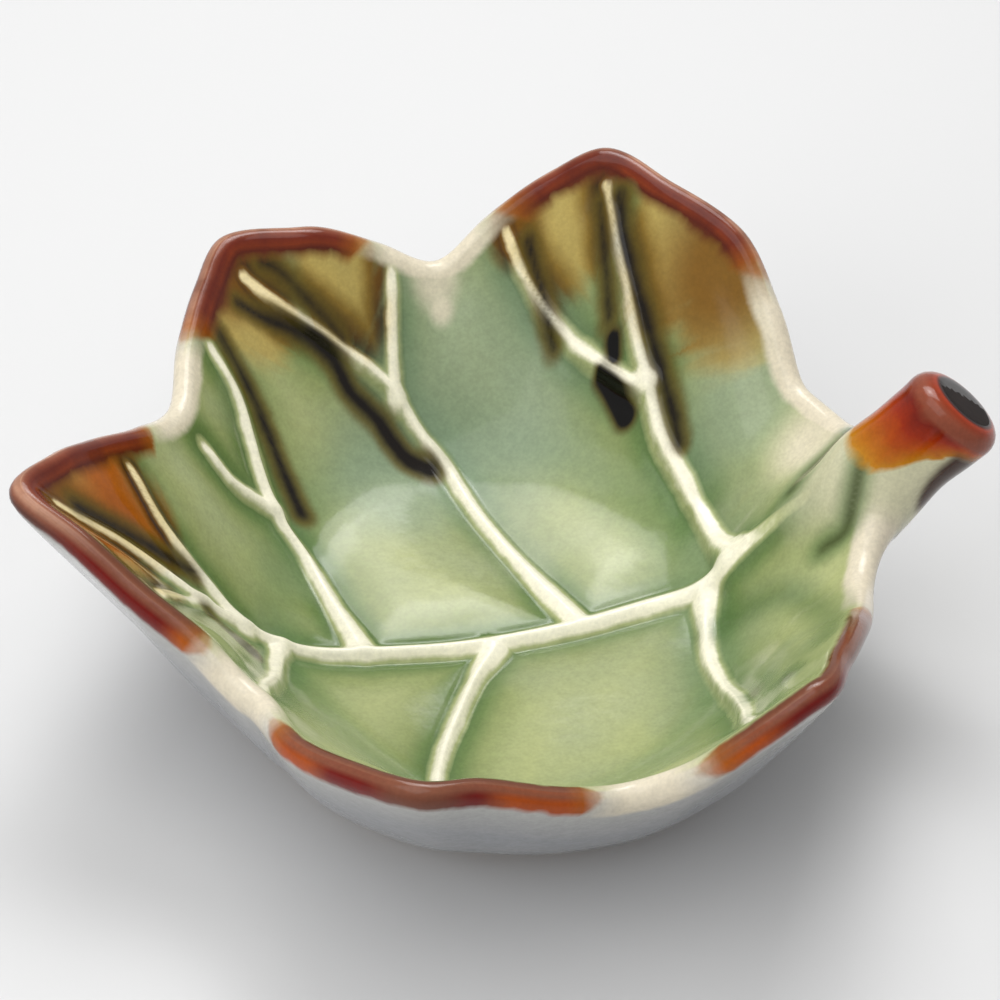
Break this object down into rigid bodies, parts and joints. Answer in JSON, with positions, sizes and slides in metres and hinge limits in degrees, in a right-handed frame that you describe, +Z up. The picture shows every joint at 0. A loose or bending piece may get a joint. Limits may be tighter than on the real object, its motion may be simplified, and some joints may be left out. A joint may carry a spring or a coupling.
{
  "type": "ring dish",
  "caption": "Leaf-shaped glazed clay dish with lobed flaring walls, raised veins inside, a thick round stalk for a handle and a ring foot, for rings and small jewellery.",
  "frame": {"origin": "on the table, below the middle of the whole piece's box", "axes": "+Z up, +X towards the stalk along the midrib, -X towards the leaf's apex"},
  "size_m": [0.123, 0.1104, 0.0407],
  "materials": {
    "celadon_glaze": "glossy green glaze inside, clear glaze over pale grey clay outside",
    "iron_glaze": "glossy red-brown iron glaze that thins to amber and cream",
    "slip_vein": "cream slip under thin glossy glaze",
    "bare_clay": "bare fired clay, matt"
  },
  "bodies": {
    "root": {"leaf_bowl": "celadon_glaze", "foot_ring": "bare_clay", "stalk": "iron_glaze", "midrib": "slip_vein", "rib_far_front": "slip_vein", "rib_far_back": "slip_vein", "rib_far_notch": "slip_vein", "rib_far_apex": "slip_vein", "rib_near_back": "slip_vein", "rib_near_front": "slip_vein", "rib_near_notch": "slip_vein", "rib_near_apex": "slip_vein", "twig_far_front": "slip_vein", "twig_far_back": "slip_vein", "twig_far_notch": "slip_vein"}
  },
  "joints": []
}
